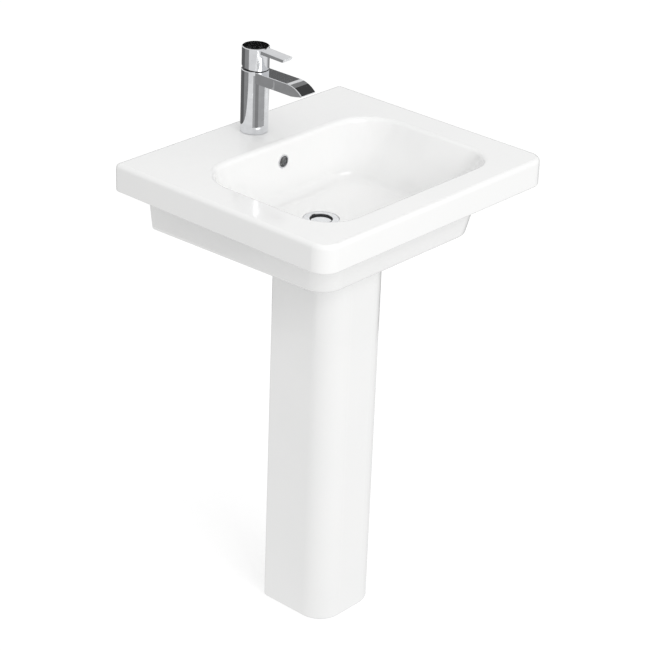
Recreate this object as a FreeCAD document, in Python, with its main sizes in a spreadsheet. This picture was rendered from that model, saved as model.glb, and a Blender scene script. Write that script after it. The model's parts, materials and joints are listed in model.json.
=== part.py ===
"""Pedestal sink with a single-lever mixer, a push-button waste and a bottle trap.

Millimetres, +Z up.  The origin is on the floor under the centre of the basin,
the wall plane is at +Y, the user stands at -Y.  Each sub-part is an object of
its own, written to parts/NODE.step.
"""
import FreeCAD, Part
import math
import os

import Sketcher

V = FreeCAD.Vector

DRIVING_SIZES = {
    # basin
    "basin_width": 550, "basin_depth": 470, "rim_height": 850, "slab_thickness": 49,
    "slab_front_corner": 30, "slab_back_corner": 9, "slab_top_round": 8, "slab_bottom_round": 4,
    "china_wall": 12, "ledge_thickness": 14,
    "bowl_side_rim": 64, "bowl_front_rim": 51, "bowl_back_rim": 123, "bowl_depth": 113,
    "bowl_corner": 64, "bowl_back_corner": 76, "bowl_wall_lean": 46, "bowl_back_lean": 1,
    "bowl_floor_round": 20,
    "bowl_rim_round": 9, "bowl_dish_rise": 30, "bowl_dish_reach": 300, "bowl_flat_margin": 5,
    "belly_side_rim": 74, "belly_front_rim": 58, "belly_side_lean": 13, "belly_front_lean": 20,
    "belly_corner": 41, "belly_round": 10, "belly_depth": 142, "belly_rise": 12,
    "lightening_depth": 16,
    "wall_bolt_spacing": 280, "wall_bolt_hole": 14, "wall_bolt_drop": 82,
    # pedestal
    "pedestal_width": 148, "pedestal_depth": 144, "pedestal_front": 157, "pedestal_corner": 45,
    "pedestal_back_corner": 8, "pedestal_wall": 12, "pedestal_gap": 84, "foot_thickness": 14,
    "foot_round": 5, "foot_opening": 30, "floor_screw_spacing": 92, "floor_screw_hole": 9,
    # overflow
    "overflow_hole": 22, "overflow_drop": 36.5, "overflow_duct_width": 34, "overflow_duct_depth": 12,
    "overflow_duct_wall": 7, "overflow_passage": 8, "overflow_lip": 1,
    # tap
    "tap_hole": 35, "tap_hole_to_wall": 53, "tap_diameter": 48, "tap_height": 112,
    "base_seal_thickness": 0.5, "spout_width": 35, "spout_thickness": 19, "spout_reach": 122,
    "spout_nose": 34, "spout_tip_thickness": 4, "aerator_setback": 27, "aerator_diameter": 22,
    "inlet_spacing": 17, "inlet_offset": 5, "inlet_thread": 10, "inlet_depth": 14, "waterway": 6,
    "stud_offset": 12, "stud_diameter": 8, "stud_length": 92,
    "cartridge_diameter": 25, "cartridge_length": 35, "cartridge_fit": 0.2, "seam_gap": 1,
    "pivot_above_tap": 13, "hub_diameter": 47, "hub_height": 39, "hub_wall": 4, "seam_rise": 6.6,
    "blade_width": 21, "blade_thickness": 8, "blade_round": 2.5, "blade_reach": 75, "blade_droop": 2.5,
    "stem_side": 7, "pivot_pin_diameter": 3,
    # waste
    "drain_to_centre": 22, "waste_flange": 62, "waste_tube": 42, "waste_wall": 3, "mouth_wall": 1,
    "waste_length": 88, "flange_thickness": 2.4, "plug_seat_wall": 1.5, "plug_drop": 3.4,
    "plug_travel": 8, "plug_stem": 8, "plug_thickness": 3, "plug_guide_drop": 48,
    "plug_guide_height": 8, "backnut_flats": 56, "backnut_height": 10,
    # trap
    "trap_diameter": 56, "trap_length": 110, "trap_cup_length": 42, "outlet_pipe": 32, "outlet_reach": 34,
    "pipe_wall": 2, "outlet_drop": 62,
    # small common values
    "seal_thickness": 2, "running_gap": 0.1, "play": 0.2, "free_gap": 0.4,
}

doc = FreeCAD.newDocument("pedestal_sink")
sheet = doc.addObject("Spreadsheet::Sheet", "Sizes")


class Size:
    """A length that knows its value and the sheet expression that gives it."""

    def __init__(self, value, text):
        self.value = float(value)
        self.text = text

    def __add__(self, other):
        other = as_size(other)
        return Size(self.value + other.value, f"({self.text} + {other.text})")

    def __sub__(self, other):
        other = as_size(other)
        return Size(self.value - other.value, f"({self.text} - {other.text})")

    def __mul__(self, other):
        other = as_size(other)
        return Size(self.value * other.value, f"({self.text} * {other.text})")

    def __truediv__(self, other):
        other = as_size(other)
        return Size(self.value / other.value, f"({self.text} / {other.text})")

    def __radd__(self, other):
        return as_size(other) + self

    def __rsub__(self, other):
        return as_size(other) - self

    def __rmul__(self, other):
        return as_size(other) * self

    def __neg__(self):
        return Size(-self.value, f"(0 - {self.text})")


def as_size(number):
    """A plain number as a Size, so that both can be mixed."""
    if isinstance(number, Size):
        return number
    return Size(number, f"({float(number)!r})")


def fill_sheet():
    """Write the driving sizes to the sheet and give them back as Sizes."""
    sizes = {}
    for row, (alias, value) in enumerate(DRIVING_SIZES.items(), start=1):
        sheet.set(f"A{row}", alias)
        sheet.set(f"B{row}", str(value))
        sheet.setAlias(f"B{row}", alias)
        sizes[alias] = Size(value, f"Sizes.{alias}")
    doc.recompute()
    return sizes


S = fill_sheet()
NODES = []


# ---------------------------------------------------------------- helpers

def bind(item, prop, size):
    """Tie a property to the sheet."""
    item.setExpression(prop, as_size(size).text)


def place(item, at, axis="z"):
    """Tie an object's position to the sheet; its own Z axis can lie along X or Y."""
    turn = {"z": FreeCAD.Rotation(),
            "y": FreeCAD.Rotation(V(1, 0, 0), -90),
            "x": FreeCAD.Rotation(V(0, 1, 0), 90)}[axis]
    item.Placement = FreeCAD.Placement(V(0, 0, 0), turn)
    for letter, size in zip("xyz", at):
        bind(item, f"Placement.Base.{letter}", size)


def node(item, label):
    """Give a finished sub-part the name of its file."""
    item.Label = label
    NODES.append(item)
    return item


def origin_plane(body, role):
    return next(f for f in body.Origin.OriginFeatures if f.Role == role)


def new_body(name):
    return doc.addObject("PartDesign::Body", name)


def new_sketch(body, name, role, offset=0):
    """A sketch on one of its body's own origin planes, moved along its normal."""
    sketch = body.newObject("Sketcher::SketchObject", name)
    sketch.AttachmentSupport = [(origin_plane(body, role), "")]
    sketch.MapMode = "FlatFace"
    bind(sketch, "AttachmentOffset.Base.z", offset)
    return sketch


def fix_point(sketch, geometry, end, point):
    """Hold one end of a sketch element at a pair of Sizes."""
    for kind, size in zip(("DistanceX", "DistanceY"), point):
        size = as_size(size)
        index = sketch.addConstraint(Sketcher.Constraint(kind, -1, 1, geometry, end, size.value))
        sketch.setExpression(f"Constraints[{index}]", size.text)


def level_arc(start, end):
    """The arc between two points that leaves the start level, and whether it turns left."""
    run, rise = end.x - start.x, end.y - start.y
    radius = (run * run + rise * rise) / (2 * abs(rise))
    centre = V(start.x, start.y + math.copysign(radius, rise), 0)
    left = (run > 0) == (rise > 0)
    first, last = (start, end) if left else (end, start)
    angles = [math.atan2(p.y - centre.y, p.x - centre.x) for p in (first, last)]
    if angles[1] < angles[0]:
        angles[1] += 2 * math.pi
    return Part.ArcOfCircle(Part.Circle(centre, V(0, 0, 1), radius), *angles), left


def polygon(sketch, points, arcs=()):
    """A closed outline with every corner tied to the sheet.

    The sides numbered in arcs are arcs that leave their first corner level.
    """
    points = [(as_size(a), as_size(b)) for a, b in points]
    spots = [V(a.value, b.value, 0) for a, b in points]
    count = len(spots)
    ends = []
    for i, spot in enumerate(spots):
        following = spots[(i + 1) % count]
        if i in arcs:
            side, left = level_arc(spot, following)
            ends.append((1, 2) if left else (2, 1))
        else:
            side = Part.LineSegment(spot, following)
            ends.append((1, 2))
        sketch.addGeometry(side, False)
    for i in range(count):
        following = (i + 1) % count
        sketch.addConstraint(
            Sketcher.Constraint("Coincident", i, ends[i][1], following, ends[following][0]))
    for i, point in enumerate(points):
        fix_point(sketch, i, ends[i][0], point)
        if i in arcs:
            centre_x = point[0]
            index = sketch.addConstraint(
                Sketcher.Constraint("DistanceX", -1, 1, i, 3, centre_x.value))
            sketch.setExpression(f"Constraints[{index}]", centre_x.text)


def rounded_rectangle(sketch, half_width, front, back, front_round, back_round):
    """A rectangle symmetric about X=0 with rounded corners, tied to the sheet."""
    half_width, front, back = as_size(half_width), as_size(front), as_size(back)
    rounds = [as_size(r) for r in (front_round, back_round, back_round, front_round)]
    w, f, b = half_width.value, front.value, back.value
    first = len(sketch.Geometry)
    corners = [(w, f, 1, -1), (w, b, 1, 1), (-w, b, -1, 1), (-w, f, -1, -1)]
    centres = [V(x - sx * r.value, y - sy * r.value, 0)
               for (x, y, sx, sy), r in zip(corners, rounds)]
    for i, radius in enumerate(rounds):
        start = math.radians(-90 + 90 * i)
        arc = Part.ArcOfCircle(Part.Circle(centres[i], V(0, 0, 1), radius.value),
                               start, start + math.pi / 2)
        before = centres[i - 1] + rounds[i - 1].value * V(math.cos(start), math.sin(start), 0)
        after = centres[i] + radius.value * V(math.cos(start), math.sin(start), 0)
        sketch.addGeometry(Part.LineSegment(before, after), False)
        sketch.addGeometry(arc, False)
    for i in range(8):
        sketch.addConstraint(Sketcher.Constraint(
            "Tangent", first + i, 2, first + (i + 1) % 8, 1))
    for i, kind in enumerate(("Horizontal", "Vertical", "Horizontal", "Vertical")):
        sketch.addConstraint(Sketcher.Constraint(kind, first + 2 * i))
    spans = [("DistanceY", 0, front), ("DistanceX", 2, half_width),
             ("DistanceY", 4, back), ("DistanceX", 6, -half_width)]
    for kind, line, size in spans:
        index = sketch.addConstraint(
            Sketcher.Constraint(kind, -1, 1, first + line, 1, size.value))
        sketch.setExpression(f"Constraints[{index}]", size.text)
    for i, radius in enumerate(rounds):
        index = sketch.addConstraint(
            Sketcher.Constraint("Radius", first + 2 * i + 1, radius.value))
        sketch.setExpression(f"Constraints[{index}]", radius.text)


def pad(body, sketch, name, length, reverse=False, midplane=False):
    feature = body.newObject("PartDesign::Pad", name)
    feature.Profile = sketch
    feature.Reversed = reverse
    feature.Midplane = midplane
    bind(feature, "Length", length)
    return feature


def pocket(body, sketch, name, length, reverse=False, midplane=False):
    """A cut that must take material away."""
    doc.recompute()
    before = body.Shape.Volume
    feature = body.newObject("PartDesign::Pocket", name)
    feature.Profile = sketch
    feature.Reversed = reverse
    feature.Midplane = midplane
    bind(feature, "Length", length)
    doc.recompute()
    if body.Shape.Volume >= before - 1e-3:
        raise RuntimeError(f"{name} cuts nothing")
    return feature


def circle(sketch, x, y, radius):
    """A circle in a sketch, tied to the sheet."""
    x, y, radius = as_size(x), as_size(y), as_size(radius)
    number = sketch.addGeometry(
        Part.Circle(V(x.value, y.value, 0), V(0, 0, 1), radius.value), False)
    fix_point(sketch, number, 3, (x, y))
    index = sketch.addConstraint(Sketcher.Constraint("Radius", number, radius.value))
    sketch.setExpression(f"Constraints[{index}]", radius.text)


def drill(body, name, spots, radius, low, high):
    """Vertical round holes between two heights."""
    sketch = new_sketch(body, f"{name}_outline", "XY_Plane", low)
    for x, y in spots:
        circle(sketch, x, y, radius)
    return pocket(body, sketch, name, as_size(high) - low, reverse=True)


def turn_out(body, sketch, name):
    """A groove all round the sketch's vertical axis."""
    doc.recompute()
    before = body.Shape.Volume
    feature = body.newObject("PartDesign::Groove", name)
    feature.Profile = sketch
    feature.ReferenceAxis = (sketch, ["V_Axis"])
    feature.Angle = 360
    doc.recompute()
    if body.Shape.Volume >= before - 1e-3:
        raise RuntimeError(f"{name} cuts nothing")
    return feature


def take_out(body, name, form):
    """Take another body's shape out of this one."""
    doc.recompute()
    feature = body.newObject("PartDesign::Boolean", name)
    feature.setObjects([form])
    feature.Type = "Cut"
    doc.recompute()
    return feature


def loft(body, kind, name, sections):
    feature = body.newObject(kind, name)
    feature.Profile = sections[0]
    feature.Sections = sections[1:]
    feature.Ruled = True
    return feature


def round_edges(body, name, radius, wanted):
    """Fillet the edges of the body's present shape that pass a test."""
    doc.recompute()
    base = body.Tip
    edges = [f"Edge{i}" for i, edge in enumerate(base.Shape.Edges, start=1) if wanted(edge)]
    if not edges:
        raise RuntimeError(f"{name} finds no edge")
    feature = body.newObject("PartDesign::Fillet", name)
    feature.Base = (base, edges)
    bind(feature, "Radius", radius)
    doc.recompute()
    return feature


def level(edge, height, tolerance=1e-3):
    """Whether an edge lies wholly at one height."""
    box = edge.BoundBox
    return abs(box.ZMin - height) < tolerance and abs(box.ZMax - height) < tolerance


def turned(name, outline, at=(0, 0, 0), axis="z"):
    """A solid of revolution: the outline's points are (radius, height) along its axis."""
    body = new_body(name)
    sketch = new_sketch(body, f"{name}_outline", "XZ_Plane")
    polygon(sketch, outline)
    feature = body.newObject("PartDesign::Revolution", f"{name}_turn")
    feature.Profile = sketch
    feature.ReferenceAxis = (sketch, ["V_Axis"])
    feature.Angle = 360
    place(body, at, axis)
    return body


def tube(name, inner, outer, low, high, at=(0, 0, 0), axis="z"):
    return turned(name, [(inner, low), (outer, low), (outer, high), (inner, high)], at, axis)


def cylinder(name, radius, length, at, axis="z"):
    item = doc.addObject("Part::Cylinder", name)
    bind(item, "Radius", radius)
    bind(item, "Height", length)
    place(item, at, axis)
    return item


def block(name, low, high):
    item = doc.addObject("Part::Box", name)
    for prop, start, end in zip(("Length", "Width", "Height"), low, high):
        bind(item, prop, as_size(end) - start)
    place(item, low)
    return item


def hexagon(name, across_flats, length, at, axis="z"):
    """A hexagonal prism, for nuts."""
    item = doc.addObject("Part::Prism", name)
    item.Polygon = 6
    bind(item, "Circumradius", as_size(across_flats) / math.sqrt(3))
    bind(item, "Height", length)
    place(item, at, axis)
    return item


def fused(name, items):
    item = doc.addObject("Part::MultiFuse", name)
    item.Shapes = items
    item.Refine = True
    return item


def cut(name, base, tools):
    """The base with one or more tools taken out of it."""
    tool = tools[0] if len(tools) == 1 else fused(f"{name}_tools", tools)
    item = doc.addObject("Part::Cut", name)
    item.Base = base
    item.Tool = tool
    return item


# ---------------------------------------------------------------- shared places

RIM = S["rim_height"]
HALF_WIDTH = S["basin_width"] / 2
FRONT = -(S["basin_depth"] / 2)
WALL = S["basin_depth"] / 2
SLAB_UNDER = RIM - S["slab_thickness"]
LEDGE_UNDER = RIM - S["ledge_thickness"]

BOWL_HALF = HALF_WIDTH - S["bowl_side_rim"]
BOWL_FRONT = FRONT + S["bowl_front_rim"]
BOWL_BACK = WALL - S["bowl_back_rim"]
BOWL_FLOOR = RIM - S["bowl_depth"]
CAVITY_FRONT = BOWL_BACK + S["china_wall"] + 1

BELLY_HALF = HALF_WIDTH - S["belly_side_rim"]
BELLY_FRONT = FRONT + S["belly_front_rim"]
BELLY_BOTTOM = RIM - S["belly_depth"]

OVERFLOW_Z = RIM - S["overflow_drop"]
OVERFLOW_SEAT = BOWL_BACK - S["bowl_back_lean"] * S["overflow_drop"] / S["bowl_depth"] + 0.6

DRAIN_Y = S["drain_to_centre"]
FLANGE_SEAT = BOWL_FLOOR - 4
TAP_Y = WALL - S["tap_hole_to_wall"]
TAP_BASE = RIM + S["base_seal_thickness"]
TAP_TOP = RIM + S["tap_height"]
PIVOT_Z = TAP_TOP + S["pivot_above_tap"]
SEAT_UNDER = BELLY_BOTTOM + 1.5
WASTE_HOLE = S["waste_tube"] / 2 + 2
NUT_FACE = S["waste_flange"] / 2 + 6
WALL_BOLT_Z = RIM - S["wall_bolt_drop"]
FLOOR_SCREW_Y = FRONT + S["pedestal_front"] + S["pedestal_depth"] * 0.68

# small lengths that several pieces share
FINE = 1
PLUG_SEAL = 1.5
MIX_DROP = 12
MIX_PORT = 6
STRAINER_RINGS = ((0, 1), (2.6, 6), (5.4, 12))

CARTRIDGE_SEAT = TAP_TOP - S["cartridge_length"] + 3
NUT_LOW = TAP_TOP - 12
NUT_RADIUS = S["cartridge_diameter"] / 2 + 1.8
BARREL_BORE = S["cartridge_diameter"] / 2 - 3.5
CARRIER_RADIUS = BARREL_BORE - 0.3
HUB_LOW = TAP_TOP + S["seam_gap"]
HUB_TOP = HUB_LOW + S["hub_height"]
GRUB_Z = HUB_TOP - 12
STUD_GRIP = 12
SPOUT_UNDER = TAP_TOP - S["spout_thickness"] - 0.5
AERATOR_Y = TAP_Y - S["spout_reach"] + S["aerator_setback"]

WASTE_TOP = FLANGE_SEAT + S["seal_thickness"] + S["flange_thickness"]
PASSAGE_LOW = BELLY_BOTTOM + S["overflow_duct_wall"]
OUTLET_JOINT = DRAIN_Y + S["trap_diameter"] / 2 + 16
OUTLET_Z = WASTE_TOP - S["waste_length"] - S["outlet_drop"]


def belly_under(y):
    """Height of the sloping underside of the belly above a place in Y."""
    return BELLY_BOTTOM - (as_size(y) - DRAIN_Y) * S["belly_rise"] / S["basin_depth"]


def sloping_prism(height):
    """Side outline between the belly's sloping underside and a level height."""
    front, back = FRONT - 20, WALL + 20
    return [(front, height), (back, height), (back, belly_under(back)), (front, belly_under(front))]


# ---------------------------------------------------------------- basin

def basin_outside(body):
    """The slab with the tapering belly below it, before anything is hollowed."""
    sections = []
    depth = S["belly_depth"] - S["slab_thickness"]
    for i, drop in enumerate((as_size(-8), depth + 30)):
        sketch = new_sketch(body, f"belly_section_{i}", "XY_Plane", SLAB_UNDER - drop)
        share = drop / depth
        rounded_rectangle(sketch, BELLY_HALF - S["belly_side_lean"] * share,
                          BELLY_FRONT + S["belly_front_lean"] * share, WALL + 40,
                          S["belly_corner"], S["belly_corner"] / 2)
        sections.append(sketch)
    loft(body, "PartDesign::AdditiveLoft", "belly", sections)
    behind = new_sketch(body, "behind_outline", "XY_Plane", BELLY_BOTTOM - 80)
    polygon(behind, [(-HALF_WIDTH, WALL), (HALF_WIDTH, WALL), (HALF_WIDTH, WALL + 60),
                     (-HALF_WIDTH, WALL + 60)])
    pocket(body, behind, "flat_back", S["rim_height"], reverse=True)
    underside = new_sketch(body, "belly_underside", "YZ_Plane")
    polygon(underside, sloping_prism(BELLY_BOTTOM - 80))
    pocket(body, underside, "belly_trim", S["basin_width"] * 2, midplane=True)

    outline = new_sketch(body, "slab_outline", "XY_Plane", SLAB_UNDER)
    rounded_rectangle(outline, HALF_WIDTH, FRONT, WALL, S["slab_front_corner"], S["slab_back_corner"])
    pad(body, outline, "slab", S["slab_thickness"])
    round_edges(body, "slab_top_edge", S["slab_top_round"], lambda e: level(e, RIM.value))
    round_edges(body, "slab_bottom_edge", S["slab_bottom_round"],
                lambda e: level(e, SLAB_UNDER.value))

    top, bottom = belly_under(FRONT).value + 1, belly_under(WALL).value - 1
    round_edges(body, "belly_edge", S["belly_round"],
                lambda e: bottom < e.BoundBox.ZMin and e.BoundBox.ZMax < top
                and e.BoundBox.YMin < WALL.value - 1)


def bowl_form():
    """The space inside the bowl: leaning walls, a dished floor and rounded corners."""
    body = new_body("bowl_form")
    sections = []
    for i, drop in enumerate((as_size(-20), S["bowl_depth"] + 30)):
        share = drop / S["bowl_depth"]
        lean = S["bowl_wall_lean"] * share
        sketch = new_sketch(body, f"bowl_section_{i}", "XY_Plane", RIM - drop)
        rounded_rectangle(sketch, BOWL_HALF - lean, BOWL_FRONT + lean,
                          BOWL_BACK - S["bowl_back_lean"] * share,
                          S["bowl_corner"] - lean / 2, S["bowl_back_corner"] - lean / 2)
        sections.append(sketch)
    loft(body, "PartDesign::AdditiveLoft", "bowl_walls", sections)

    reach = S["bowl_dish_reach"]
    below = BOWL_FLOOR - 60
    dish = new_sketch(body, "dish_outline", "XZ_Plane", -DRAIN_Y)
    flat = S["waste_flange"] / 2 + S["bowl_flat_margin"]
    polygon(dish, [(0, BOWL_FLOOR), (flat, BOWL_FLOOR), (reach, BOWL_FLOOR + S["bowl_dish_rise"]),
                   (reach, below), (0, below)], arcs=(1,))
    turn_out(body, dish, "bowl_dish")
    lowest = BOWL_FLOOR.value
    round_edges(body, "bowl_floor_edge", S["bowl_floor_round"],
                lambda e: e.BoundBox.ZMax < lowest + S["bowl_dish_rise"].value + 5)
    return body


def basin():
    body = new_body("basin")
    basin_outside(body)
    take_out(body, "bowl", bowl_form())
    mouth_half, mouth_front, mouth_back = BOWL_HALF.value + 5, BOWL_FRONT.value - 5, BOWL_BACK.value + 5
    round_edges(body, "bowl_rim", S["bowl_rim_round"],
                lambda e: level(e, RIM.value) and abs(e.BoundBox.XMax) < mouth_half
                and e.BoundBox.YMin > mouth_front and e.BoundBox.YMax < mouth_back)

    # the service space behind the bowl, open below, passing round the overflow duct
    half = S["overflow_duct_width"] / 2
    shell = S["overflow_duct_wall"]
    duct_front = BOWL_BACK + S["china_wall"] - 2
    duct_back = duct_front + S["overflow_duct_depth"]
    sections = []
    depth = S["belly_depth"] - S["slab_thickness"]
    for i, height in enumerate((LEDGE_UNDER, BELLY_BOTTOM - 30)):
        sketch = new_sketch(body, f"service_section_{i}", "XY_Plane", height)
        side = BELLY_HALF - S["china_wall"] - S["belly_side_lean"] * (SLAB_UNDER - height) / depth
        back = WALL - S["china_wall"]
        polygon(sketch, [(-side, CAVITY_FRONT), (-half - shell, CAVITY_FRONT),
                         (-half - shell, duct_back + shell), (half + shell, duct_back + shell),
                         (half + shell, CAVITY_FRONT), (side, CAVITY_FRONT), (side, back),
                         (-side, back)])
        sections.append(sketch)
    loft(body, "PartDesign::SubtractiveLoft", "service_space", sections)

    # the channel under the slab's border, open below, on three sides
    inner = BOWL_HALF + S["china_wall"]
    outer = HALF_WIDTH - S["china_wall"]
    front_in, front_out = BOWL_FRONT - S["china_wall"], FRONT + S["china_wall"]
    back = WALL - S["china_wall"]
    channel = new_sketch(body, "channel_outline", "XY_Plane", SLAB_UNDER - 1)
    polygon(channel, [(-outer, front_out), (outer, front_out), (outer, back), (inner, back),
                      (inner, front_in), (-inner, front_in), (-inner, back), (-outer, back)])
    pocket(body, channel, "slab_channel", S["slab_thickness"] - S["china_wall"] + 1, reverse=True)

    # overflow duct behind the bowl wall, its passage under the floor, and its mouth
    duct_low = PASSAGE_LOW
    duct_top = OVERFLOW_Z + S["overflow_hole"] / 2
    hollow = new_sketch(body, "duct_hollow_outline", "XY_Plane", duct_low)
    polygon(hollow, [(-half, duct_front), (half, duct_front), (half, duct_back), (-half, duct_back)])
    pocket(body, hollow, "duct_hollow", duct_top - duct_low, reverse=True)
    passage = new_sketch(body, "passage_outline", "XY_Plane", duct_low)
    narrow = S["overflow_passage"]
    polygon(passage, [(-narrow, DRAIN_Y), (narrow, DRAIN_Y), (narrow, duct_front + 1),
                      (-narrow, duct_front + 1)])
    pocket(body, passage, "overflow_passage", S["overflow_passage"], reverse=True)
    mouth = new_sketch(body, "overflow_outline", "XZ_Plane", -(duct_front + 1))
    circle(mouth, 0, OVERFLOW_Z, S["overflow_hole"] / 2)
    pocket(body, mouth, "overflow_mouth", 30, reverse=True)
    seat = new_sketch(body, "overflow_seat_outline", "XZ_Plane", -OVERFLOW_SEAT)
    circle(seat, 0, OVERFLOW_Z, S["overflow_hole"] / 2 + S["overflow_lip"] + S["play"])
    pocket(body, seat, "overflow_seat", 10, reverse=True)

    # tap hole, waste hole with a seat above and below, wall bolt holes
    drill(body, "tap_hole", [(0, TAP_Y)], S["tap_hole"] / 2, LEDGE_UNDER - 1, RIM + 1)
    seats = new_sketch(body, "waste_seats_outline", "XZ_Plane", -DRAIN_Y)
    recess = S["waste_flange"] / 2 + S["free_gap"]
    low, high = BELLY_BOTTOM - 20, BOWL_FLOOR + 20
    polygon(seats, [(0, low), (NUT_FACE, low), (NUT_FACE, SEAT_UNDER), (WASTE_HOLE, SEAT_UNDER),
                    (WASTE_HOLE, FLANGE_SEAT), (recess, FLANGE_SEAT), (recess, high), (0, high)])
    turn_out(body, seats, "waste_seats")
    # two shallow hollows in the underside, beside the place where the pedestal meets it
    inner = S["pedestal_width"] / 2 + S["china_wall"]
    outer = BELLY_HALF - S["belly_side_lean"] - 2 * S["china_wall"]
    near, far = BELLY_FRONT + S["belly_front_lean"] + 2 * S["china_wall"], BOWL_BACK - S["china_wall"]
    for side in (-1, 1):
        hollow = new_sketch(body, f"hollow_outline_{side + 1}", "XY_Plane", BELLY_BOTTOM - 20)
        polygon(hollow, [(inner * side, near), (outer * side, near), (outer * side, far),
                         (inner * side, far)])
        pocket(body, hollow, f"underside_hollow_{side + 1}", S["lightening_depth"] + 20, reverse=True)

    bolts = new_sketch(body, "wall_bolts_outline", "XZ_Plane", -(WALL + 1))
    for side in (-1, 1):
        circle(bolts, S["wall_bolt_spacing"] / 2 * side, WALL_BOLT_Z, S["wall_bolt_hole"] / 2)
    pocket(body, bolts, "wall_bolt_holes", S["china_wall"] + 2, reverse=True)
    return node(body, "basin")


# ---------------------------------------------------------------- pedestal

def pedestal():
    """A hollow column, open at the back, on a flanged foot."""
    body = new_body("pedestal")
    half = S["pedestal_width"] / 2
    front = FRONT + S["pedestal_front"]
    back = front + S["pedestal_depth"]
    wall = S["pedestal_wall"]
    top = BELLY_BOTTOM + 40
    outline = new_sketch(body, "column_outline", "XY_Plane")
    rounded_rectangle(outline, half, front, back, S["pedestal_corner"], S["pedestal_back_corner"])
    pad(body, outline, "column", top)
    over = new_sketch(body, "over_outline", "YZ_Plane")
    polygon(over, sloping_prism(top + 60))
    pocket(body, over, "column_trim", S["pedestal_width"] * 2, midplane=True)
    round_edges(body, "foot_edge", S["foot_round"], lambda e: level(e, 0))

    hollow = new_sketch(body, "hollow_outline", "XY_Plane", S["foot_thickness"])
    rounded_rectangle(hollow, half - wall, front + wall, back - wall,
                      S["pedestal_corner"] - wall, 3)
    pocket(body, hollow, "hollow", top, reverse=True)
    gap = S["pedestal_gap"] / 2
    slot = new_sketch(body, "slot_outline", "XY_Plane", S["foot_thickness"])
    polygon(slot, [(-gap, back - wall - 1), (gap, back - wall - 1), (gap, back + 1), (-gap, back + 1)])
    pocket(body, slot, "back_slot", top, reverse=True)
    foot = S["foot_opening"]
    opening = new_sketch(body, "foot_outline", "XY_Plane", -1)
    polygon(opening, [(-foot, front + foot), (foot, front + foot), (foot, back + 1), (-foot, back + 1)])
    pocket(body, opening, "foot_opening", S["foot_thickness"] + 2, reverse=True)
    screws = [(S["floor_screw_spacing"] / 2 * side, FLOOR_SCREW_Y) for side in (-1, 1)]
    drill(body, "floor_screws", screws, S["floor_screw_hole"] / 2, -1, S["foot_thickness"] + 1)
    return node(body, "pedestal")


# ---------------------------------------------------------------- overflow and tap

def overflow_ring():
    """A bright ring pushed into the overflow hole."""
    hole = S["overflow_hole"] / 2
    depth = S["china_wall"] - 3
    lip = S["overflow_lip"]
    sleeve = hole - S["running_gap"]
    outline = [(hole - lip, 0), (hole + lip, 0), (hole + lip, lip), (sleeve, lip),
               (sleeve, depth), (hole - lip, depth)]
    ring = turned("overflow_ring", outline, (0, OVERFLOW_SEAT - lip, OVERFLOW_Z), "y")
    node(ring, "overflow_ring")


def spout_form():
    """The flat spout with its nose curving down, drawn from the side."""
    body = new_body("spout_form")
    under = SPOUT_UNDER
    tip = -S["spout_reach"]
    nose = tip + S["spout_nose"]
    fall = S["spout_thickness"] - S["spout_tip_thickness"] - 1.5
    side = new_sketch(body, "spout_outline", "YZ_Plane")
    polygon(side, [(nose, TAP_TOP), (tip, TAP_TOP - fall), (tip + 0.8, TAP_TOP - fall - 1.8),
                   (tip + S["spout_nose"] * 0.7, under), (-6, under), (-6, TAP_TOP)], arcs=(0,))
    pad(body, side, "spout", S["spout_width"], midplane=True)
    lowest = (TAP_TOP - fall).value - 0.1
    round_edges(body, "spout_edges", 1.2,
                lambda e: e.BoundBox.XLength < 0.01 and e.BoundBox.ZMin > lowest
                and e.BoundBox.YLength > 10)
    place(body, (0, TAP_Y, 0))
    return body


def tap_body():
    """The upright body and spout in one casting, bored for water and cartridge."""
    half = S["tap_diameter"] / 2
    column = turned("tap_column", [(0, TAP_BASE), (half - 0.4, TAP_BASE), (half, TAP_BASE + 0.4),
                                   (half, TAP_TOP - 1), (half - 1, TAP_TOP), (0, TAP_TOP)],
                    (0, TAP_Y, 0))
    solid = fused("tap_casting", [column, spout_form()])
    bore = S["cartridge_diameter"] / 2 + S["cartridge_fit"]
    tools = [turned("cartridge_bore", [(0, CARTRIDGE_SEAT), (bore, CARTRIDGE_SEAT),
                                       (bore, NUT_LOW), (NUT_RADIUS, NUT_LOW),
                                       (NUT_RADIUS, TAP_TOP + 5), (0, TAP_TOP + 5)], (0, TAP_Y, 0))]
    way = S["waterway"] / 2
    mix_y = TAP_Y - bore - way - 1.5
    channel = TAP_TOP - S["spout_thickness"] / 2 - 1
    for side in (-1, 1):
        x = S["inlet_spacing"] / 2 * side
        inlet_y = TAP_Y - S["inlet_offset"]
        tools.append(cylinder(f"inlet_thread_{side + 1}", S["inlet_thread"] / 2,
                              S["inlet_depth"] + 1, (x, inlet_y, TAP_BASE - 1)))
        tools.append(cylinder(f"inlet_way_{side + 1}", way, CARTRIDGE_SEAT - TAP_BASE,
                              (x, inlet_y, TAP_BASE + 1)))
    tools.append(cylinder("stud_thread", S["stud_diameter"] / 2, STUD_GRIP + 1,
                          (0, TAP_Y + S["stud_offset"], TAP_BASE - 1)))
    mix_low = CARTRIDGE_SEAT - MIX_DROP
    tools.append(cylinder("mixed_down", way, MIX_DROP + 1, (0, TAP_Y - MIX_PORT, mix_low)))
    tools.append(block("mixed_across", (-way, mix_y, mix_low),
                       (way, TAP_Y - MIX_PORT, mix_low + 2 * way)))
    tools.append(cylinder("mixed_up", way, channel - mix_low, (0, mix_y, mix_low)))
    tools.append(block("spout_way", (-10, AERATOR_Y, channel - 4), (10, mix_y + way, channel + 4)))
    tools.append(cylinder("aerator_hole", S["aerator_diameter"] / 2 - 1, 12,
                          (0, AERATOR_Y, SPOUT_UNDER - 2)))
    node(cut("tap_body", solid, tools), "tap_body")


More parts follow.
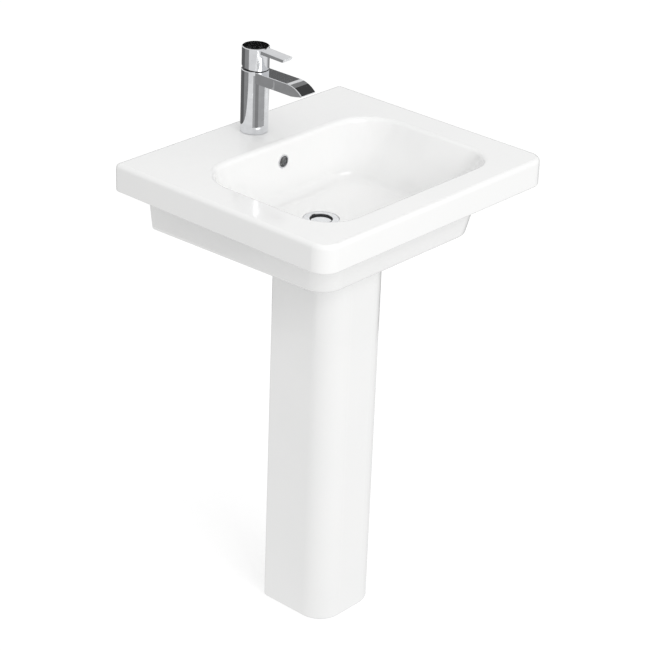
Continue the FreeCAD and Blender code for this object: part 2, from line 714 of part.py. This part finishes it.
def tap_fixings():
    """The base seal and what clamps the tap to the ledge from below."""
    half = S["tap_diameter"] / 2
    node(tube("tap_base_seal", S["tap_hole"] / 2 + 1, half - 3, RIM, TAP_BASE, (0, TAP_Y, 0)),
         "tap_base_seal")
    stud_y = TAP_Y + S["stud_offset"]
    stud_top = TAP_BASE + STUD_GRIP
    stud = cylinder("fixing_stud", S["stud_diameter"] / 2, S["stud_length"],
                    (0, stud_y, stud_top - S["stud_length"]))
    node(stud, "fixing_stud")
    plate_top = LEDGE_UNDER - 3
    layers = [("fixing_rubber", plate_top, 3), ("fixing_plate", plate_top - 2, 2)]
    for name, low, thickness in layers:
        disc = cylinder(f"{name}_disc", half + 2, thickness, (0, TAP_Y, low))
        opening = cylinder(f"{name}_opening", S["tap_hole"] / 2 - 2.5, thickness + 2,
                           (0, TAP_Y - 9, low - 1))
        mouth = block(f"{name}_mouth", (-(S["tap_hole"] / 2) + 2.5, TAP_Y - half - 4, low - 1),
                      (S["tap_hole"] / 2 - 2.5, TAP_Y - 9, low + thickness + 1))
        hole = cylinder(f"{name}_hole", S["stud_diameter"] / 2 + 0.2, thickness + 2,
                        (0, stud_y, low - 1))
        node(cut(name, disc, [opening, mouth, hole]), name)
    nut_top = plate_top - 2
    nut = cut("fixing_nut", hexagon("fixing_nut_hex", 13, 10, (0, stud_y, nut_top - 10)),
              [cylinder("fixing_nut_bore", S["stud_diameter"] / 2, 12, (0, stud_y, nut_top - 11))])
    node(nut, "fixing_nut")


def aerator():
    """The outlet under the nose of the spout: seal, ring and strainer."""
    at = (0, AERATOR_Y, 0)
    outer = S["aerator_diameter"] / 2
    thread = outer - 1
    housing = turned("aerator_housing", [
        (thread - 1.5, SPOUT_UNDER - 3), (outer, SPOUT_UNDER - 3), (outer, SPOUT_UNDER),
        (thread, SPOUT_UNDER), (thread, SPOUT_UNDER + 7), (thread - 1.5, SPOUT_UNDER + 7)], at)
    node(housing, "aerator_housing")
    node(tube("aerator_seal", thread - 3, thread, SPOUT_UNDER + 7, SPOUT_UNDER + 8.5, at),
         "aerator_seal")
    low = SPOUT_UNDER - 2
    strainer = cylinder("strainer_disc", thread - 1.5, 8, (0, AERATOR_Y, low))
    holes = []
    for ring, count in STRAINER_RINGS:
        for i in range(count):
            angle = 2 * math.pi * i / count
            spot = (ring * math.cos(angle), AERATOR_Y + ring * math.sin(angle), low - 1)
            holes.append(cylinder(f"strainer_hole_{ring}_{i}".replace(".", "_"), 0.8, 10, spot))
    node(cut("aerator_insert", strainer, holes), "aerator_insert")


def cartridge():
    """The mixing cartridge: base, seals, two discs, housing, nut and glide ring."""
    at = (0, TAP_Y, 0)
    outer = S["cartridge_diameter"] / 2
    foot = CARTRIDGE_SEAT + 0.5
    ports = [(S["inlet_spacing"] / 2, -S["inlet_offset"]), (-(S["inlet_spacing"] / 2),
             -S["inlet_offset"]), (0, 6)]

    def port_tools(name, low, thickness, radius):
        return [cylinder(f"{name}_port_{i}", radius, thickness + 2,
                         (x * 0.62, TAP_Y + y * 0.9, low - 1)) for i, (x, y) in enumerate(ports)]

    base = cylinder("cartridge_base_disc", outer, 4, (0, TAP_Y, foot))
    node(cut("cartridge_base", base, port_tools("base", foot, 4, 2)), "cartridge_base")
    rings = [tube(f"port_seal_{i}", 2.2, 3.2, CARTRIDGE_SEAT, foot,
                  (x * 0.62, TAP_Y + y * 0.9, 0)) for i, (x, y) in enumerate(ports)]
    node(fused("cartridge_seals", rings), "cartridge_seals")
    fixed = cylinder("fixed_disc_blank", BARREL_BORE - 0.1, 3, (0, TAP_Y, foot + 4))
    node(cut("fixed_disc", fixed, port_tools("fixed", foot + 4, 3, 1.8)), "fixed_disc")
    node(turned("moving_disc", [(4, foot + 7), (BARREL_BORE - 1.5, foot + 7),
                                (BARREL_BORE - 1.5, foot + 10), (0, foot + 10), (0, foot + 8.5),
                                (4, foot + 8.5)], at), "moving_disc")
    neck = outer - 1.5
    node(turned("cartridge_body", [
        (BARREL_BORE, foot + 4), (outer, foot + 4), (outer, TAP_TOP - 2), (neck, TAP_TOP - 2),
        (neck, TAP_TOP + 6), (BARREL_BORE, TAP_TOP + 6)], at), "cartridge_body")
    node(turned("cartridge_nut", [
        (outer + S["cartridge_fit"], NUT_LOW), (NUT_RADIUS, NUT_LOW), (NUT_RADIUS, TAP_TOP + 2),
        (NUT_RADIUS - 1, TAP_TOP + 3), (neck + 0.1, TAP_TOP + 3), (neck + 0.1, TAP_TOP - 2),
        (outer + S["cartridge_fit"], TAP_TOP - 2)], at), "cartridge_nut")
    node(tube("glide_ring", NUT_RADIUS + 1.5, S["hub_diameter"] / 2 - 1.5,
              TAP_TOP, TAP_TOP + S["seam_gap"] * 0.6, at), "glide_ring")


def lever_carrier():
    """The turning piece in the cartridge that holds the lever's pivot pin."""
    foot = CARTRIDGE_SEAT + 10.6
    top = PIVOT_Z + 5.5
    blank = cylinder("carrier_blank", CARRIER_RADIUS, top - foot, (0, TAP_Y, foot))
    slot = S["stem_side"] / 2 + S["free_gap"]
    reach = CARRIER_RADIUS + 1
    way = block("carrier_slot", (-slot, TAP_Y - reach, PIVOT_Z - 16), (slot, TAP_Y + reach, top + 1))
    pin = S["pivot_pin_diameter"] / 2
    bore = cylinder("carrier_bore", pin, 2 * reach, (-reach, TAP_Y, PIVOT_Z), "x")
    node(cut("lever_carrier", blank, [way, bore]), "lever_carrier")
    length = 2 * CARRIER_RADIUS - 1.6
    node(cylinder("pivot_pin", pin, length, (-(length / 2), TAP_Y, PIVOT_Z), "x"), "pivot_pin")


def lever():
    """The stem, the handle with its hub and blade, its grub screw and its marker plug."""
    half = S["stem_side"] / 2
    pin = S["pivot_pin_diameter"] / 2
    stem_top = HUB_TOP - 8
    stem = block("stem_blank", (-half, TAP_Y - half, PIVOT_Z - 13), (half, TAP_Y + half, stem_top))
    reach = S["stem_side"]
    node(cut("lever_stem", stem, [cylinder("stem_bore", pin + S["running_gap"] / 2, 2 * reach,
                                           (-reach, TAP_Y, PIVOT_Z), "x")]), "lever_stem")

    outer = S["hub_diameter"] / 2
    inner = outer - S["hub_wall"]
    roof = HUB_TOP - 5
    boss = 8
    hub = turned("hub_form", [
        (0, PIVOT_Z + 9), (boss, PIVOT_Z + 9), (boss, roof), (inner, roof), (inner, HUB_LOW - 1),
        (outer, HUB_LOW - 1), (outer, HUB_TOP - 1.2), (outer - 1.2, HUB_TOP), (0, HUB_TOP)],
        (0, TAP_Y, 0))
    seam = new_sketch(hub, "seam_outline", "YZ_Plane")
    slope = S["seam_rise"] / S["hub_diameter"]
    far = outer + 5
    polygon(seam, [(-far, HUB_LOW - 5), (far, HUB_LOW - 5), (far, HUB_LOW + slope * (far + outer)),
                   (-far, HUB_LOW - slope * (far - outer))])
    pocket(hub, seam, "seam", S["hub_diameter"] + 20, midplane=True)

    blade = new_body("blade_form")
    tip = -S["blade_reach"]
    top = HUB_TOP - 0.6
    thick = S["blade_thickness"]
    side = new_sketch(blade, "blade_outline", "YZ_Plane")
    polygon(side, [(-12, top - thick), (-12, top), (tip, top - S["blade_droop"]),
                   (tip + 3.5, top - S["blade_droop"] - thick * 0.85)])
    pad(blade, side, "blade", S["blade_width"], midplane=True)
    crest = (top - thick * 0.6).value
    round_edges(blade, "blade_rounds", S["blade_round"],
                lambda e: e.BoundBox.XLength < 0.01 and e.BoundBox.ZMin > crest)
    place(blade, (0, TAP_Y, 0))

    play = 0.05
    tools = [block("stem_socket", (-half - play, TAP_Y - half - play, PIVOT_Z + 8),
                   (half + play, TAP_Y + half + play, stem_top + 0.3)),
             cylinder("grub_way", 2.5, outer, (0, TAP_Y + half - 1, GRUB_Z), "y"),
             cylinder("plug_way", 3.5, 6, (0, TAP_Y + inner - 1, GRUB_Z), "y")]
    node(cut("lever_handle", fused("handle_casting", [hub, blade]), tools), "lever_handle")
    screw = cylinder("grub_blank", 2.5, 6, (0, TAP_Y + half + play, GRUB_Z), "y")
    key = hexagon("grub_key", 2.5, 4, (0, TAP_Y + half + play + 3, GRUB_Z), "y")
    node(cut("lever_grub_screw", screw, [key]), "lever_grub_screw")
    plug = turned("index_plug", [(0, 0), (3.5, 0), (3.5, S["hub_wall"] - 0.6), (2.8, S["hub_wall"]),
                                 (0, S["hub_wall"])], (0, TAP_Y + inner, GRUB_Z), "y")
    node(plug, "index_plug")


# ---------------------------------------------------------------- waste

def waste():
    """The push-button waste: flanged tube, seals, nut, guide and closing plug."""
    at = (0, DRAIN_Y, 0)
    tube_radius = S["waste_tube"] / 2
    bore = tube_radius - S["waste_wall"]
    flange = S["waste_flange"] / 2
    mouth = tube_radius - S["mouth_wall"]
    plug = mouth - S["plug_seat_wall"] - S["play"]
    cap_top = WASTE_TOP - S["plug_drop"]
    cap_low = cap_top - S["plug_thickness"]
    mouth_low = cap_low - PLUG_SEAL
    flange_low = WASTE_TOP - S["flange_thickness"]
    low = WASTE_TOP - S["waste_length"]
    body = turned("waste_form", [
        (bore, low), (tube_radius, low), (tube_radius, flange_low), (flange, flange_low),
        (flange, flange_low + 1), (flange - 2, WASTE_TOP - 0.4), (mouth + 1.5, WASTE_TOP),
        (mouth, WASTE_TOP - 0.6), (mouth, mouth_low), (bore, mouth_low)], at)
    slot = S["overflow_passage"] - FINE
    slots = block("waste_slots", (-slot, DRAIN_Y - tube_radius - 2, PASSAGE_LOW),
                  (slot, DRAIN_Y + tube_radius + 2, PASSAGE_LOW + S["overflow_passage"]))
    node(cut("waste_body", body, [slots]), "waste_body")
    node(tube("waste_flange_seal", tube_radius + S["play"], flange - FINE, FLANGE_SEAT, flange_low, at),
         "waste_flange_seal")

    seal = SEAT_UNDER - 4
    node(turned("waste_lower_seal", [(tube_radius, seal), (flange, seal), (flange, seal + 2.5),
                                     (WASTE_HOLE, SEAT_UNDER), (tube_radius, SEAT_UNDER)], at),
         "waste_lower_seal")
    washer = seal - S["seal_thickness"]
    node(tube("waste_washer", tube_radius + S["play"], flange + FINE, washer, seal, at), "waste_washer")
    height = S["backnut_height"]
    nut_low = washer - height
    nut = cut("waste_backnut", hexagon("backnut_hex", S["backnut_flats"], height, (0, DRAIN_Y, nut_low)),
              [cylinder("backnut_bore", tube_radius, height + 2, (0, DRAIN_Y, nut_low - 1))])
    node(nut, "waste_backnut")

    guide = WASTE_TOP - S["plug_guide_drop"]
    tall = S["plug_guide_height"]
    stem = S["plug_stem"] / 2
    arm = bore - FINE
    rings = [tube("guide_rim", bore - 2, bore, guide, guide + tall, at),
             cylinder("guide_boss", stem + 3, tall + 6, (0, DRAIN_Y, guide - 3)),
             block("guide_arm_0", (-arm, DRAIN_Y - 1.5, guide), (arm, DRAIN_Y + 1.5, guide + tall)),
             block("guide_arm_1", (-1.5, DRAIN_Y - arm, guide), (1.5, DRAIN_Y + arm, guide + tall))]
    node(cut("plug_guide", fused("guide_form", rings),
             [cylinder("guide_bore", stem + S["running_gap"], tall + 12, (0, DRAIN_Y, guide - 5))]),
         "plug_guide")
    node(tube("plug_seat", mouth - S["plug_seat_wall"], mouth, mouth_low, WASTE_TOP - 1, at),
         "plug_seat")
    length = cap_low - guide + S["plug_travel"] - 1.5
    node(cylinder("plug_stem", stem, length, (0, DRAIN_Y, cap_low - length)), "plug_stem")
    node(turned("plug_cap", [(0, cap_low), (plug, cap_low), (plug, cap_top - 1), (plug - 1, cap_top),
                             (0, cap_top)], at), "plug_cap")
    node(tube("plug_seal", stem + 6, plug - 0.5, mouth_low, cap_low, at), "plug_seal")


# ---------------------------------------------------------------- bottle trap

def trap():
    """The bottle trap in the pedestal and the start of the pipe to the wall."""
    at = (0, DRAIN_Y, 0)
    tube_radius = S["waste_tube"] / 2
    low = WASTE_TOP - S["waste_length"]
    pipe = S["outlet_pipe"] / 2
    wall = S["pipe_wall"]
    outer = S["trap_diameter"] / 2
    seal = S["seal_thickness"]
    collar = low - seal
    roof = collar - 30
    cup_top = roof - S["trap_length"] + S["trap_cup_length"]
    cup_low = cup_top - S["trap_cup_length"]

    node(tube("trap_inlet_washer", pipe, tube_radius - 0.5, collar, low, at), "trap_inlet_washer")
    node(turned("trap_inlet_tube", [
        (pipe - wall, cup_low + 14), (pipe, cup_low + 14), (pipe, collar - 3),
        (tube_radius - 0.5, collar - 3), (tube_radius - 0.5, collar), (pipe - wall, collar)], at),
        "trap_inlet_tube")
    nut_wall = 3.5
    node(turned("trap_inlet_nut", [
        (pipe + 0.3, collar - 7), (tube_radius + nut_wall, collar - 7),
        (tube_radius + nut_wall, low + 14), (tube_radius, low + 14), (tube_radius, collar - 3),
        (pipe + 0.3, collar - 3)], at), "trap_inlet_nut")

    shell = turned("trap_shell", [
        (pipe, roof - 4), (outer - 3, roof - 4), (outer - 3, cup_top), (outer, cup_top),
        (outer, roof - 3), (outer - 3, roof), (pipe + 4, roof), (pipe + 4, roof + 12), (pipe, roof + 12)],
        at)
    spigot_y = DRAIN_Y + outer - 5
    spigot = cylinder("trap_spigot", pipe + 3.5, OUTLET_JOINT - spigot_y,
                      (0, spigot_y, OUTLET_Z), "y")
    hole = cylinder("trap_spigot_bore", pipe, OUTLET_JOINT - spigot_y + 8,
                    (0, spigot_y - 6, OUTLET_Z), "y")
    node(cut("trap_body", fused("trap_form", [shell, spigot]), [hole]), "trap_body")
    node(tube("trap_cup_seal", outer - 3, outer - 0.5, cup_top - seal, cup_top, at), "trap_cup_seal")
    node(turned("trap_cup", [
        (0, cup_low), (outer - 6, cup_low), (outer, cup_low + 6), (outer, cup_top - seal),
        (outer - 3, cup_top - seal), (outer - 3, cup_low + 7), (outer - 7, cup_low + 3),
        (0, cup_low + 3)], at), "trap_cup")

    # the pipe's inner end is a little slimmer, so that its free end has a length of its own
    slim = pipe - S["mouth_wall"]
    node(tube("outlet_washer", slim, pipe + 3.5, 0, seal, (0, OUTLET_JOINT, OUTLET_Z), "y"),
         "outlet_washer")
    nut_end = seal + 3
    nut = turned("outlet_nut", [
        (pipe + 3.5, -12), (pipe + 7, -12), (pipe + 7, nut_end), (slim + 0.3, nut_end),
        (slim + 0.3, seal), (pipe + 3.5, seal)], (0, OUTLET_JOINT, OUTLET_Z), "y")
    node(nut, "outlet_nut")
    free = nut_end + 1
    node(turned("outlet_pipe", [
        (pipe - wall, -14), (slim, -14), (slim, free), (pipe, free), (pipe, free + S["outlet_reach"]),
        (pipe - wall, free + S["outlet_reach"])], (0, OUTLET_JOINT, OUTLET_Z), "y"), "outlet_pipe")


# ---------------------------------------------------------------- build and write

def build_all():
    basin()
    pedestal()
    overflow_ring()
    tap_body()
    tap_fixings()
    aerator()
    cartridge()
    lever_carrier()
    lever()
    waste()
    trap()
    doc.recompute()


def check_and_write():
    """Refuse a failed object or an empty shape, then write one file for each sub-part."""
    for item in doc.Objects:
        if {"Invalid", "Error"} & set(item.State):
            raise RuntimeError(f"{item.Name} failed: {item.State}")
    for item in NODES:
        shape = item.Shape
        if shape.isNull() or not shape.isValid() or not shape.Solids:
            raise RuntimeError(f"{item.Label} has no valid solid")
    os.makedirs("parts", exist_ok=True)
    for item in NODES:
        item.Shape.exportStep(f"parts/{item.Label}.step")
        print(f"{item.Label:22s} {len(item.Shape.Solids):2d} {item.Shape.Volume / 1000:9.2f} cm3")


build_all()
check_and_write()
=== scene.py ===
"""Studio scene for the pedestal sink: materials, floor, lights, reflection cards and camera."""
import json
import math

import bpy
from mathutils import Matrix, Vector


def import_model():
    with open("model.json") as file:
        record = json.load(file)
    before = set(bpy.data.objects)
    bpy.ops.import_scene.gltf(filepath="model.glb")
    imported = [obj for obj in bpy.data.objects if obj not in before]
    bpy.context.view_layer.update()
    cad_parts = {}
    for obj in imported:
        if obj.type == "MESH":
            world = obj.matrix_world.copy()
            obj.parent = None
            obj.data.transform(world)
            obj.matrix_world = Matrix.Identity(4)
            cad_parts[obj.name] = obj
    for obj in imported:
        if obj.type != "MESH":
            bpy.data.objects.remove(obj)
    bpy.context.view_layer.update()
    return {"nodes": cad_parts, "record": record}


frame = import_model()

NODES = frame["nodes"]
SCENE = bpy.context.scene

# most of a noise's values lie between these
NOISE_LOW = 0.35
NOISE_HIGH = 0.65


# ---------------------------------------------------------------- node helpers

def new_material(name):
    """An empty node material with its Principled shader."""
    material = bpy.data.materials.new(name)
    material.use_nodes = True
    return material, material.node_tree.nodes["Principled BSDF"]


def join(material, output, socket):
    material.node_tree.links.new(output, socket)


def noise(material, scale, detail=2.0, roughness=0.5, stretch=(1, 1, 1)):
    """Noise in the object's own metres."""
    place = material.node_tree.nodes.new("ShaderNodeTexCoord")
    mapping = material.node_tree.nodes.new("ShaderNodeMapping")
    mapping.inputs["Scale"].default_value = stretch
    texture = material.node_tree.nodes.new("ShaderNodeTexNoise")
    texture.inputs["Scale"].default_value = scale
    texture.inputs["Detail"].default_value = detail
    texture.inputs["Roughness"].default_value = roughness
    join(material, place.outputs["Object"], mapping.inputs["Vector"])
    join(material, mapping.outputs["Vector"], texture.inputs["Vector"])
    return texture.outputs["Fac"]


def spread(material, value, low, high):
    """Map the middle of a noise's range onto the range from low to high."""
    ramp = material.node_tree.nodes.new("ShaderNodeMapRange")
    ramp.inputs["From Min"].default_value = NOISE_LOW
    ramp.inputs["From Max"].default_value = NOISE_HIGH
    ramp.inputs["To Min"].default_value = low
    ramp.inputs["To Max"].default_value = high
    join(material, value, ramp.inputs["Value"])
    return ramp.outputs["Result"]


def colour_mix(material, value, first, second):
    """Blend two colours by a 0 to 1 value."""
    mix = material.node_tree.nodes.new("ShaderNodeMix")
    mix.data_type = "RGBA"
    mix.inputs["A"].default_value = (*first, 1)
    mix.inputs["B"].default_value = (*second, 1)
    join(material, value, mix.inputs["Factor"])
    return mix.outputs["Result"]


def bump(material, shader, height, distance):
    """Raise and lower the surface by a height in metres."""
    node = material.node_tree.nodes.new("ShaderNodeBump")
    node.inputs["Distance"].default_value = distance
    node.inputs["Strength"].default_value = 1.0
    join(material, height, node.inputs["Height"])
    join(material, node.outputs["Normal"], shader.inputs["Normal"])


# ---------------------------------------------------------------- materials

def china():
    """White glaze: faint pooling, a polish that varies a little, and orange-peel waves."""
    material, shader = new_material("china_glaze")
    tone = colour_mix(material, spread(material, noise(material, 6, 3), 0, 1),
                      (0.95, 0.95, 0.945), (0.935, 0.937, 0.933))
    join(material, tone, shader.inputs["Base Color"])
    join(material, spread(material, noise(material, 40, 4), 0.10, 0.18), shader.inputs["Roughness"])
    shader.inputs["IOR"].default_value = 1.5
    shader.inputs["Coat Weight"].default_value = 0.25
    shader.inputs["Coat Roughness"].default_value = 0.08
    bump(material, shader, noise(material, 55, 2), 0.00012)
    return material


def bright_metal(name, colour, smooth, dull, ripple=0.00002):
    """Plated metal: polish that varies a little, with faint wiping marks."""
    material, shader = new_material(name)
    shader.inputs["Metallic"].default_value = 1.0
    darker = tuple(c * 0.94 for c in colour)
    join(material, colour_mix(material, spread(material, noise(material, 90, 3), 0, 1), colour, darker),
         shader.inputs["Base Color"])
    join(material, spread(material, noise(material, 160, 5, stretch=(1, 1, 0.35)), smooth, dull),
         shader.inputs["Roughness"])
    bump(material, shader, noise(material, 70, 2), ripple)
    return material


def moulded(name, colour, rough, grain=600, depth=0.00003):
    """Plastic or rubber with a fine moulded grain."""
    material, shader = new_material(name)
    darker = tuple(c * 0.85 for c in colour)
    join(material, colour_mix(material, spread(material, noise(material, 50, 3), 0, 1), colour, darker),
         shader.inputs["Base Color"])
    join(material, spread(material, noise(material, grain, 2), rough - 0.06, rough + 0.06),
         shader.inputs["Roughness"])
    bump(material, shader, noise(material, grain, 2), depth)
    return material


MATERIALS = {
    "white_china": china(),
    "disc_ceramic": moulded("disc_ceramic", (0.80, 0.78, 0.73), 0.3),
    "chrome": bright_metal("chrome", (0.80, 0.81, 0.83), 0.03, 0.07),
    "black_rubber": moulded("black_rubber", (0.025, 0.025, 0.027), 0.6, 400, 0.00006),
    "steel": bright_metal("steel", (0.56, 0.57, 0.58), 0.22, 0.36, 0.00006),
    "brass": bright_metal("brass", (0.70, 0.50, 0.22), 0.2, 0.34, 0.00006),
    "white_plastic": moulded("white_plastic", (0.80, 0.80, 0.78), 0.42),
    "dark_plastic": moulded("dark_plastic", (0.05, 0.05, 0.055), 0.4),
    "marker_plastic": moulded("marker_plastic", (0.16, 0.24, 0.55), 0.2),
}


def finish_nodes():
    """Give every CAD node the material of its slot."""
    for entry in frame["record"]["subparts"]:
        mesh = NODES[entry["node"]].data
        mesh.materials.clear()
        mesh.materials.append(MATERIALS[entry["material_slot"]])


# ---------------------------------------------------------------- studio

VIEW_AZIMUTH = math.radians(-48.57)
VIEW_ELEVATION = math.radians(26.32)
VIEW_ROLL = math.radians(2.16)
VIEW_TARGET = Vector((-0.0795, -0.0658, 0.5947))
VIEW_DISTANCE = 3.7158
VIEW_LENS = 123.5
VIEW_SENSOR = 36
VIEW_REACH = 50


WORLD_LIGHT = 0.80
FLOOR_HALF = 12
FLOOR_HEIGHT = -0.0005
FLOOR_TONE = 0.6
FLOOR_GLOW = 0.52
BOUNCE_HEIGHT = -0.002
BOUNCE_GLOW = 0.80

# name: place, what it is aimed at, size, power
SOFTBOXES = {
    "front_light": ((-0.9, -3.3, 2.5), (0, 0, 0.7), (2.4, 2.0), 48),
    "top_light": ((0.0, -0.6, 3.6), (0, 0, 0.8), (2.6, 2.6), 2),
}

# centres of the cards, all on or near the tap's upright axis
TAP = Vector((0, 0.18, 0.95))
TAP_CAP = Vector((0, 0.182, 1.002))
TAP_COLUMN = Vector((0, 0.182, 0.9))
TAP_SPOUT = Vector((0, 0.12, 0.962))
CARD_STEPS = 12

# name: centre, bearings, heights, distance, grey
CARDS = {
    "rear_card": (TAP, (0, 125), (-42, 6), 1.4, 0.13),
    "rear_left_card": (TAP, (125, 168), (-42, 6), 1.4, 0.29),
    "right_card": (TAP, (-24, 0), (-42, 0), 1.5, 0.45),
    "nose_card": (TAP, (13, 38), (33, 50), 1.3, 0.24),
    "tip_card": (TAP, (-34, 13), (36, 52), 1.3, 0.06),
    "column_card": (TAP_COLUMN, (212, 292), (-42, 38), 0.072, 0.42),
    "column_core_card": (TAP_COLUMN, (226, 247), (-43, 38), 0.068, 0.26),
    "spout_card": (TAP_SPOUT, (26, 58), (16.5, 22.5), 0.35, 0.14),
    "cap_card": (TAP_CAP, (37.6, 49.6), (16.8, 21.3), 0.28, 0.008),
}


def camera():
    """The camera, looking at its target from VIEW_DISTANCE away."""
    back = Vector((math.sin(VIEW_AZIMUTH) * math.cos(VIEW_ELEVATION),
                   -math.cos(VIEW_AZIMUTH) * math.cos(VIEW_ELEVATION), math.sin(VIEW_ELEVATION)))
    right = Vector((math.cos(VIEW_AZIMUTH), math.sin(VIEW_AZIMUTH), 0))
    up = back.cross(right)
    side = right * math.cos(VIEW_ROLL) + up * math.sin(VIEW_ROLL)
    top = up * math.cos(VIEW_ROLL) - right * math.sin(VIEW_ROLL)
    data = bpy.data.cameras.new("camera")
    data.lens = VIEW_LENS
    data.sensor_width = VIEW_SENSOR
    data.clip_end = VIEW_REACH
    item = bpy.data.objects.new("camera", data)
    turn = Matrix((side, top, back)).transposed().to_4x4()
    item.matrix_world = Matrix.Translation(VIEW_TARGET + back * VIEW_DISTANCE) @ turn
    SCENE.collection.objects.link(item)
    SCENE.camera = item


def sheet(name, half, height, colour, glow):
    """A level sheet of the studio floor, which can also glow."""
    mesh = bpy.data.meshes.new(name)
    mesh.from_pydata([(-half, -half, 0), (half, -half, 0), (half, half, 0), (-half, half, 0)], [],
                     [(0, 1, 2, 3)])
    item = bpy.data.objects.new(name, mesh)
    item.location.z = height
    SCENE.collection.objects.link(item)
    material, shader = new_material(name)
    shader.inputs["Base Color"].default_value = (colour, colour, colour, 1)
    shader.inputs["Roughness"].default_value = 1
    shader.inputs["Specular IOR Level"].default_value = 0
    shader.inputs["Emission Color"].default_value = (1, 1, 1, 1)
    shader.inputs["Emission Strength"].default_value = glow
    mesh.materials.append(material)
    return item


def floor():
    """The white floor that the camera sees, over a greyer one that throws the light back up."""
    seen = sheet("floor", FLOOR_HALF, FLOOR_HEIGHT, FLOOR_TONE, FLOOR_GLOW)
    seen.visible_diffuse = False
    seen.visible_glossy = False
    bounce = sheet("floor_bounce", FLOOR_HALF, BOUNCE_HEIGHT, 0.0, BOUNCE_GLOW)
    bounce.visible_camera = False
    bounce.visible_shadow = False


def softbox(name, spot, aim, size, power):
    """A rectangular area light at one place, aimed at another."""
    data = bpy.data.lights.new(name, "AREA")
    data.shape = "RECTANGLE"
    data.size, data.size_y = size
    data.energy = power
    item = bpy.data.objects.new(name, data)
    item.location = spot
    item.rotation_euler = (Vector(aim) - Vector(spot)).to_track_quat("-Z", "Y").to_euler()
    SCENE.collection.objects.link(item)


def card(name, centre, turns, lifts, distance, grey):
    """A curved card that only reflections see, between two bearings and two heights in degrees.

    Bearings run from +X towards +Y, both seen from the centre.
    """
    points, faces = [], []
    for i in range(CARD_STEPS + 1):
        turn = math.radians(turns[0] + (turns[1] - turns[0]) * i / CARD_STEPS)
        for lift in map(math.radians, lifts):
            points.append((math.cos(turn) * math.cos(lift) * distance,
                           math.sin(turn) * math.cos(lift) * distance, math.sin(lift) * distance))
        if i:
            faces.append((2 * i - 2, 2 * i, 2 * i + 1, 2 * i - 1))
    mesh = bpy.data.meshes.new(name)
    mesh.from_pydata(points, [], faces)
    item = bpy.data.objects.new(name, mesh)
    item.location = centre
    item.visible_camera = False
    item.visible_diffuse = False
    item.visible_shadow = False
    SCENE.collection.objects.link(item)
    material, shader = new_material(name)
    shader.inputs["Base Color"].default_value = (0, 0, 0, 1)
    shader.inputs["Specular IOR Level"].default_value = 0
    shader.inputs["Emission Color"].default_value = (grey, grey, grey, 1)
    shader.inputs["Emission Strength"].default_value = 1
    mesh.materials.append(material)


def world():
    """Even white light all round."""
    item = bpy.data.worlds.new("studio")
    item.use_nodes = True
    background = item.node_tree.nodes["Background"]
    background.inputs["Color"].default_value = (1, 1, 1, 1)
    background.inputs["Strength"].default_value = WORLD_LIGHT
    SCENE.world = item


def studio():
    """Lights, floor and cards, with colours shown as they are."""
    SCENE.view_settings.view_transform = "Standard"
    world()
    floor()
    for name, (spot, aim, size, power) in SOFTBOXES.items():
        softbox(name, spot, aim, size, power)
    for name, (centre, turns, lifts, distance, grey) in CARDS.items():
        card(name, centre, turns, lifts, distance, grey)


finish_nodes()
camera()
studio()
